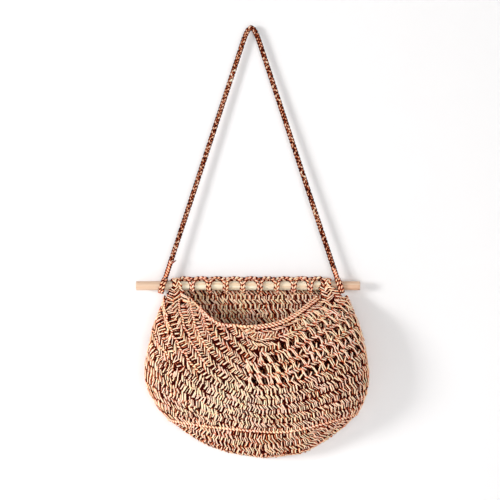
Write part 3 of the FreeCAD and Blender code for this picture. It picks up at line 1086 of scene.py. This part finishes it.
class BASKET_OT_corner_tabs(bpy.types.Operator):
    """Work each corner tab over the rod and fan it out into the pouch"""

    bl_idname = "basket.corner_tabs"
    bl_label = "Corner tabs"

    def execute(self, context):
        """Each tab is a few bands of stitches that run down side by side, from left to right."""
        for name, side, spread in TAB_SPREADS:
            low, high = corners(name)
            yarn = Yarn(seed=71 + side)
            shares = np.linspace(TAB_FIRST_SHARE, 1, round((high[0] - low[0]) / TAB_BAND) + 1)
            outer, inner = (high[0], low[0]) if side > 0 else (low[0], high[0])
            tops = outer + (inner - outer) * (TAB_LAST_SHARE * shares - spread * (1 - shares))
            lines = [self.line(*place, side) for place in zip(shares, tops)][::-side]
            for number, (lower, upper) in enumerate(zip(lines, lines[1:])):
                band = Band(upper, lower)
                work_row(yarn, band, band.strokes, TAB_SLANTS[number % 2], yarn.random.uniform(0, 2),
                         tone=TAB_TONE)
            add_fabric(name + "_strands", yarn, cloth(), name)
        return {"FINISHED"}

    def line(self, share, top, side):
        """Line down a tab at a share of the way in from its outer edge.

        It rounds the rod, comes down in front of it and bends out to its place on the pouch. The bend is a
        parabola from the rod to the pouch, drawn towards a point under the rod.
        """
        drop = SHOULDER_Z - TAB_DROP
        foot = pouch_edges(drop)[side > 0] - side * TAB_FAN * share
        turn = np.radians(np.linspace(*TAB_TURN, 24))
        x = top - side * TAB_SLOPE * np.linspace(0, 1, len(turn))
        over = round_rod(x, ROD_RADIUS + TAB_CLEAR, turn)
        out = (TAB_BEND_SHARES[0] + TAB_BEND_SHARES[1] * share) * (foot - x[-1])
        bend = over[-1] + np.array([out, -TAB_BEND_AHEAD, TAB_BEND_DROPS[0] + TAB_BEND_DROPS[1] * share])
        way = np.linspace(0, 1, 16)[1:, None]
        fall = (1 - way) ** 2 * over[-1] + 2 * way * (1 - way) * bend + way ** 2 * pouch_point(foot, drop)
        return even(np.concatenate([over, fall]), LINE_POINTS)


class BASKET_OT_pouch_edging(bpy.types.Operator):
    """Lay the rim's two ropes and work the short row under them"""

    bl_idname = "basket.pouch_edging"
    bl_label = "Pouch edging"

    def execute(self, context):
        yarn = Yarn(seed=81)
        band = Band(*in_step(front_point, 0.0, RIM_ROW_SHARE, *front_reach(0.0, 0.0, low=-2.0)))
        work_row(yarn, band, round(band.strokes), sizes().long_slant)
        along = np.linspace(0, 1, LINE_POINTS)
        for across, out in RIM_PLACES:
            twist(yarn, band.point(along, across, out), at(band.out, along), RIM_ROPE, RIM_LAY)
        add_fabric("pouch_edging_rim", yarn, cloth(), "pouch_edging")
        return {"FINISHED"}


def dense_rows(yarn, rows, roped=False, start=-1 - WRAP, end=1 + WRAP, **limits):
    """Close rows between lines of the front, from the top down.

    Strokes lean one way and the other by turns, and pairs of rows stand apart. A row is parted into two where
    it is too tall on the left. Where the rows are roped, a rope of two strands runs on top of each pair.
    """
    tone, reaches, further = (ROPED_TONE, ROPED_REACHES, ROPED_SLANT_SHARE) if roped else (
        DENSE_TONE, PAIR_REACHES, 1)
    for number, (upper, lower) in enumerate(zip(rows, rows[1:])):
        middle = (upper + lower) / 2
        parting = tall_reach(upper, lower)
        bands = [front_band(upper, lower, max(start, parting), end, **limits),
                 front_band(upper, middle, start, min(parting, end), **limits),
                 front_band(middle, lower, start, min(parting, end), **limits)]
        for part, band in enumerate(bands):
            if band is None:
                continue
            slant = row_slant(number + part // 2) * further
            work_row(yarn, band, band.strokes, slant, yarn.random.uniform(0, 2), reaches[number % 2], tone)
        band = front_band(upper, lower, start, min(end, ROPE_END_SHARE), **limits)
        if roped and number % 2 == 0 and band is not None:
            along = np.linspace(0, 1, max(8, int(band.length / ROPE_STEP)))
            across = ROW_ROPE_SHARE + ROW_ROPE_SHARE_JITTER * yarn.uneven(len(along), 4)
            out = ROW_ROPE_OUT + ROW_ROPE_OUT_JITTER * yarn.uneven(len(along), 4)
            twist(yarn, band.point(along, across, out), at(band.out, along), ROW_ROPE, -ROW_LAY)


class BASKET_OT_pouch_mesh_band(bpy.types.Operator):
    """Work the upper front: close stitches on the left, open ones on the right, a close head to each row"""

    bl_idname = "basket.pouch_mesh_band"
    bl_label = "Pouch mesh band"

    def execute(self, context):
        close = Yarn(seed=91)
        open_work = Yarn(seed=92)
        edges = np.linspace(MESH_START_SHARE, MESH_END_SHARE, LACE_ROWS + 1)
        for row, (top, bottom) in enumerate(zip(edges, edges[1:])):
            head = top + LACE_HEAD_SHARE * (bottom - top)
            split = LACE_START_SHARES[row]
            dense_rows(close, (top, (top + bottom) / 2, bottom), roped=True, end=split)
            dense_rows(open_work, (top, head), start=split)
            dense_rows(open_work, (head, bottom), start=LACE_END_SHARE)
            self.lace(open_work, front_band(head, bottom, start=split, end=LACE_END_SHARE), row)
        dense_rows(close, WALL_EDGES, roped=True, high=MESH_END_SHARE)
        for name, yarn in (("pouch_mesh_band_rows", close), ("pouch_mesh_band_lace", open_work)):
            add_fabric(name, yarn, cloth(), "pouch_mesh_band")
        return {"FINISHED"}

    def lace(self, yarn, band, row):
        """Posts of three strands that lean to the upper left, with gaps between.

        A strand goes straight from its foot up through the head of the row and swells outwards as a root of a
        sine. Near its top it bends over to the left as a parabola. From the fifth post on, the third strand
        is a short one that leans the other way and crosses a gap.
        """
        posts = max(2, round(band.length / LACE_STEP))
        heights = np.linalg.norm(band.upper - band.lower, axis=1)
        slopes = np.arcsin(np.clip(band.along[:, 2], -1, 1))
        way = np.linspace(*LACE_REACH, 14)
        depth = LACE_LOFT * np.sin(math.pi * np.linspace(0.02, 0.98, len(way))) ** 0.5
        bend = -LACE_BEND * np.clip(way - LACE_BEND_START, 0, 1) ** 2
        thick = LACE_YARN_SHARE * sizes().yarn
        jitter = yarn.random.normal
        for number in range(posts + 1):
            foot = number + 0.5 * (row % 2) + FOOT_JITTER * jitter()
            spot = int(np.clip(foot / posts, 0, 1) * (LINE_POINTS - 1))
            tall_here = min(1.0, heights[spot] / LACE_HEIGHT)
            tilt = -math.tan(LACE_TILT - slopes[spot]) * heights[spot] / LACE_STEP + TILT_JITTER * jitter()
            for strand, tone in enumerate(LACE_TONES):
                crossing = strand == 2 and number > CROSSING_START
                beside = LACE_STRAND_STEP * strand + BESIDE_JITTER * jitter()
                lean = CROSSING_LEAN * tall_here if crossing else tilt + LEAN_JITTER * jitter()
                tall = yarn.random.uniform(*(CROSSING_HEIGHTS if crossing else POST_HEIGHTS))
                across = way * tall + POST_JITTER * jitter()
                sway = POST_SWAY * yarn.uneven(len(way), 4)
                along = np.clip((foot + beside + lean * way + tall_here * bend + sway) / posts, 0, 1)
                tint = tone + POST_TINT_JITTER * yarn.uneven(len(way), 4)
                # The posts are lighter where they swell out and darker towards their ends: painted highlight
                # and shade
                yarn.strand(band.point(along, across, depth), thick, at(band.along, along), tint,
                            at(band.out, along), depth, depth.max() + thick)


class BASKET_OT_pouch_wall(bpy.types.Operator):
    """Work the dense rows of the belly down to the ridge"""

    bl_idname = "basket.pouch_wall"
    bl_label = "Pouch wall"

    def execute(self, context):
        yarn = Yarn(seed=101)
        dense_rows(yarn, WALL_EDGES, low=MESH_END_SHARE)
        add_fabric("pouch_wall_rows", yarn, cloth(), "pouch_wall")
        return {"FINISHED"}


class BASKET_OT_pouch_base(bpy.types.Operator):
    """Work the ridge, the rows of the base and the seam along its lower edge"""

    bl_idname = "basket.pouch_base"
    bl_label = "Pouch base"

    def execute(self, context):
        yarn = Yarn(seed=111)
        for number, (low, high) in enumerate(zip(BASE_RISES, BASE_RISES[1:])):
            band = Band(*in_step(base_point, high, low, *base_reach((low + high) / 2)))
            work_row(yarn, band, round(band.strokes), row_slant(number), yarn.random.uniform())
        outline = in_step(base_point, 0.0, 0.0, -1, 1)[0]
        back = points_at(outline[:, 0], PANEL_MIDDLE_Y, outline[:, 2])
        lines = [outline + (back - outline) * share for share in np.linspace(0, 1, SEAM_ROWS + 1)]
        for upper, lower in zip(lines, lines[1:]):
            seam = Band(upper, lower)
            work_row(yarn, seam, round(seam.strokes), SEAM_SLANT, reach=SEAM_REACH, tone=SEAM_TONE)
        line = in_step(front_point, FAN_FROM_SHARE, FAN_FROM_SHARE, -1 - WRAP, 1 + WRAP)[0]
        out = Band(line + 0.001 * UP, line - 0.001 * UP).out
        twist(yarn, line + RIDGE_OUT * out, out, RIDGE_ROPE, ROW_LAY)
        add_fabric("pouch_base_rows", yarn, cloth(), "pouch_base")
        return {"FINISHED"}


class BASKET_OT_stage(bpy.types.Operator):
    """Set the wall, the floor, the lights and the camera"""

    bl_idname = "basket.stage"
    bl_label = "Stage"

    def execute(self, context):
        scene = context.scene
        wall_y = PANEL_HIGH[1] + WALL_GAP
        floor_z = PANEL_LOW[2] - FLOOR_DROP
        edge = np.array([-STAGE_REACH, STAGE_REACH, STAGE_REACH, -STAGE_REACH])
        rise = np.array([0, 0, 1, 1])
        wall = points_at(edge, wall_y, floor_z + rise * (STAGE_REACH - floor_z))
        floor = points_at(edge, -STAGE_REACH + rise * (wall_y + STAGE_REACH), floor_z)
        for name, points in (("wall", wall), ("floor", floor)):
            mesh = bpy.data.meshes.new(name)
            mesh.from_pydata(points.tolist(), [], [(0, 1, 2, 3)])
            mesh.materials.append(wall_finish(name + "_paint"))
            plane = bpy.data.objects.new(name, mesh)
            scene.collection.objects.link(plane)
        for lamp in LAMPS:
            self.lamp(scene, *lamp)
        world = bpy.data.worlds.new("studio")
        world.use_nodes = True
        scene.world = world
        sky = world.node_tree.nodes["Background"].inputs
        sky["Color"].default_value = (*WHITE, 1.0)
        sky["Strength"].default_value = SKY
        camera = bpy.data.cameras.new("camera")
        camera.lens = CAMERA_LENS
        camera.sensor_width = CAMERA_SENSOR
        stand = bpy.data.objects.new("camera", camera)
        stand.location = CAMERA_PLACE
        stand.rotation_euler = (math.pi / 2, 0.0, 0.0)
        scene.collection.objects.link(stand)
        scene.camera = stand
        scene.view_settings.view_transform = "Standard"
        return {"FINISHED"}

    def lamp(self, scene, name, place, size, power):
        """Square lamp that points at the middle of the basket."""
        light = bpy.data.lights.new(name, "AREA")
        light.size = size
        light.energy = power
        lamp = bpy.data.objects.new(name, light)
        lamp.location = place
        aim = np.array([0.0, 0.0, ROD_Z - BASKET_HEIGHT / 3]) - np.array(place)
        lamp.rotation_euler = (math.atan2(math.hypot(aim[0], aim[1]), -aim[2]), 0.0,
                               math.atan2(aim[1], aim[0]) - math.pi / 2)
        scene.collection.objects.link(lamp)


PIECES = (
    BASKET_OT_hanging_cord,
    BASKET_OT_cord_eyes,
    BASKET_OT_cord_splices,
    BASKET_OT_rod,
    BASKET_OT_back_panel,
    BASKET_OT_top_edge_chain,
    BASKET_OT_rod_loops,
    BASKET_OT_corner_tabs,
    BASKET_OT_pouch_edging,
    BASKET_OT_pouch_mesh_band,
    BASKET_OT_pouch_wall,
    BASKET_OT_pouch_base,
    BASKET_OT_stage,
)


class BASKET_PT_sidebar(bpy.types.Panel):
    """Sizes, colours and pieces of the basket"""

    bl_idname = "BASKET_PT_sidebar"
    bl_label = "Hanging basket"
    bl_space_type = "VIEW_3D"
    bl_region_type = "UI"
    bl_category = "Basket"

    def draw(self, context):
        for group in (context.scene.basket_sizes, context.scene.basket_colours):
            for name in group.__annotations__:
                self.layout.prop(group, name)
        for piece in PIECES:
            self.layout.operator(piece.bl_idname)


CLASSES = (BasketSizes, BasketColours, *PIECES, BASKET_PT_sidebar)


def register():
    for entry in CLASSES:
        bpy.utils.register_class(entry)
    bpy.types.Scene.basket_sizes = PointerProperty(type=BasketSizes)
    bpy.types.Scene.basket_colours = PointerProperty(type=BasketColours)


def unregister():
    del bpy.types.Scene.basket_colours
    del bpy.types.Scene.basket_sizes
    for entry in reversed(CLASSES):
        bpy.utils.unregister_class(entry)


def main():
    register()
    for piece in PIECES:
        getattr(bpy.ops.basket, piece.bl_idname.split(".")[1])()


if __name__ == "__main__":
    main()
